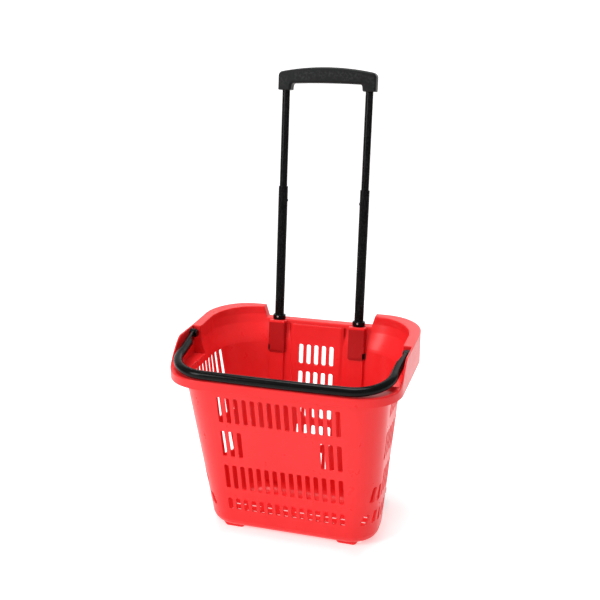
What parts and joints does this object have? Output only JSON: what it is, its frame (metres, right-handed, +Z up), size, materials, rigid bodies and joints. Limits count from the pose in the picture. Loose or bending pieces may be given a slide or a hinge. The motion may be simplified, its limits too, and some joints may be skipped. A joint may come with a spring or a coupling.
{
  "type": "rolling shopping basket",
  "caption": "Slotted plastic shopping basket with a folding bail, a telescoping pull handle on leaning posts and a pair of rear wheels on a through axle.",
  "frame": {"origin": "on the floor under the middle of the bounding box, handle fully drawn out and bail folded down", "axes": "+Z up, -Y towards the front wall, +Y towards the wheels and pull handle, +X to the right seen from the front"},
  "size_m": [0.466, 0.4104, 0.9279],
  "materials": {
    "basket_red": "glossy moulded polypropylene, faintly translucent",
    "black_plastic": "smooth moulded",
    "black_tube": "black enamel on steel tube",
    "guide_plastic": "natural nylon",
    "black_rivet": "satin",
    "grip_grey": "fine satin texture",
    "steel": "zinc plated",
    "hub_grey": "satin",
    "tyre_rubber": "soft rubber"
  },
  "bodies": {
    "basket": {"basket_shell": "basket_red", "fixed_tube_left": "black_tube", "fixed_tube_right": "black_tube", "post_collar_left": "black_plastic", "post_collar_right": "black_plastic", "collar_pins": "steel", "post_foot_screws": "steel", "bail_pins": "black_plastic", "axle": "steel", "axle_caps": "black_plastic", "axle_spacers": "black_plastic"},
    "bail": {"bail_handle": "black_plastic"},
    "lower_stage": {"lower_tube_left": "black_tube", "lower_tube_right": "black_tube", "lower_guide_left": "guide_plastic", "lower_guide_right": "guide_plastic", "top_bush_left": "black_plastic", "top_bush_right": "black_plastic", "lower_tube_rivets": "black_rivet", "lower_tube_pins": "black_rivet"},
    "upper_stage": {"upper_tube_left": "black_tube", "upper_tube_right": "black_tube", "upper_guide_left": "guide_plastic", "upper_guide_right": "guide_plastic", "grip_body": "grip_grey", "grip_cover": "grip_grey", "grip_screws": "steel"},
    "wheel_left": {"wheel_hub_left": "hub_grey", "tyre_left": "tyre_rubber"},
    "wheel_right": {"wheel_hub_right": "hub_grey", "tyre_right": "tyre_rubber"}
  },
  "joints": [
    {"name": "bail_hinge", "type": "hinge", "parent": "basket", "child": "bail", "pos_m": [0, -0.03604, 0.4025], "axis": [-1, 0, 0], "range_deg": [0, 112]},
    {"name": "lower_slide", "type": "slide", "parent": "basket", "child": "lower_stage", "axis": [0, 0.1219, 0.9925], "range_m": [-0.243, 0]},
    {"name": "upper_slide", "type": "slide", "parent": "lower_stage", "child": "upper_stage", "axis": [0, 0.1219, 0.9925], "range_m": [-0.198, 0]},
    {"name": "wheel_left_spin", "type": "hinge", "parent": "basket", "child": "wheel_left", "pos_m": [-0.144, 0.09096, 0.032], "axis": [1, 0, 0], "continuous": true},
    {"name": "wheel_right_spin", "type": "hinge", "parent": "basket", "child": "wheel_right", "pos_m": [0.144, 0.09096, 0.032], "axis": [1, 0, 0], "continuous": true}
  ]
}
